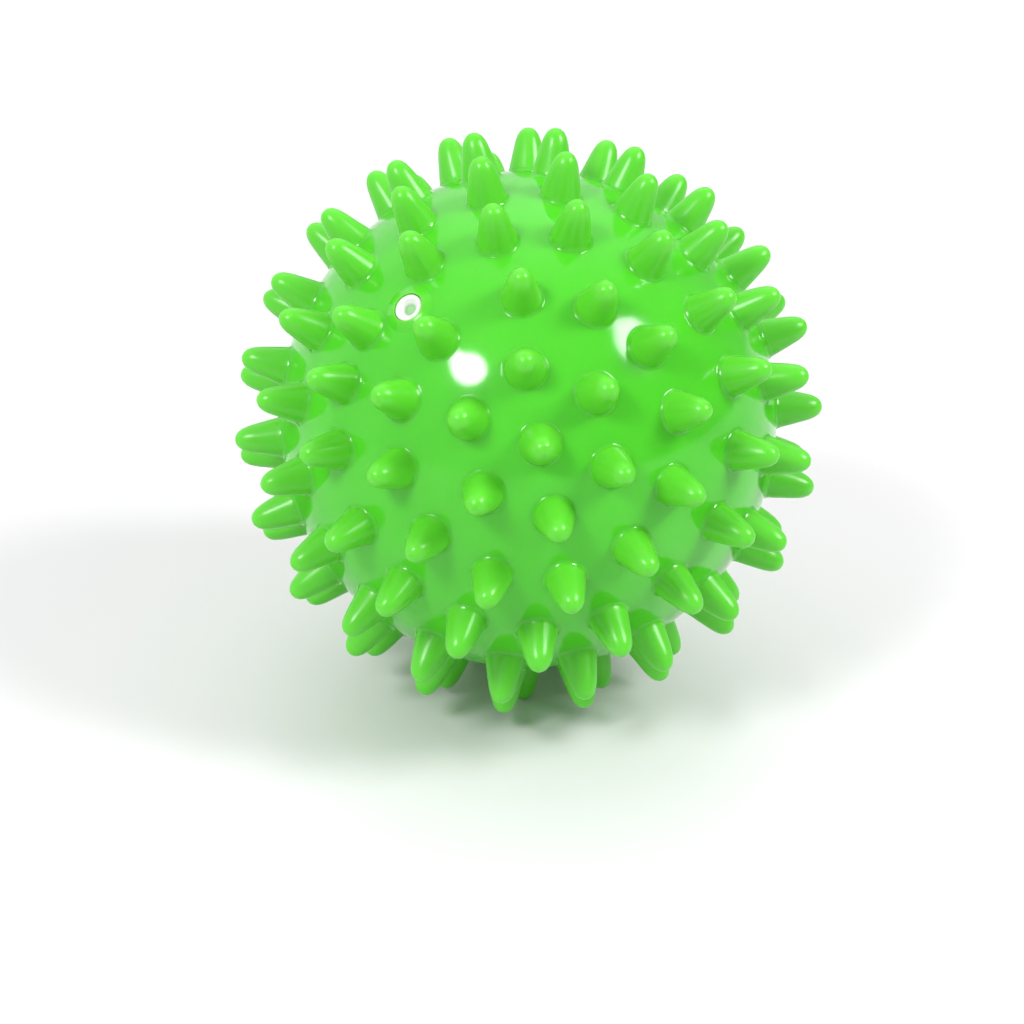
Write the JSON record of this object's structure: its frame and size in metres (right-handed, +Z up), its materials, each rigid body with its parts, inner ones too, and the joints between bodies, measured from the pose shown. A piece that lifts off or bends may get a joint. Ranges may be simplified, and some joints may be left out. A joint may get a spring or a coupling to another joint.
{
  "type": "spiky massage ball",
  "caption": "Hollow soft vinyl massage ball covered in blunt moulded spikes, with a pull-out air valve plug seated in a raised collar.",
  "frame": {"origin": "on the floor plane under the ball's centre, at the level of the three spike tips that it stands on", "axes": "+Z up; the pole of the spike rings that faces the viewer points along -Y and a little up; +X to the viewer's right"},
  "size_m": [0.0891, 0.0895, 0.0889],
  "materials": {
    "green_vinyl": "gloss",
    "white_vinyl": "satin"
  },
  "bodies": {
    "ball": {"shell": "green_vinyl"},
    "plug": {"valve_plug": "white_vinyl"}
  },
  "joints": [
    {"name": "plug_pull", "type": "slide", "parent": "ball", "child": "plug", "axis": [-0.4995, -0.5307, 0.6847], "range_m": [0, 0.012]}
  ]
}
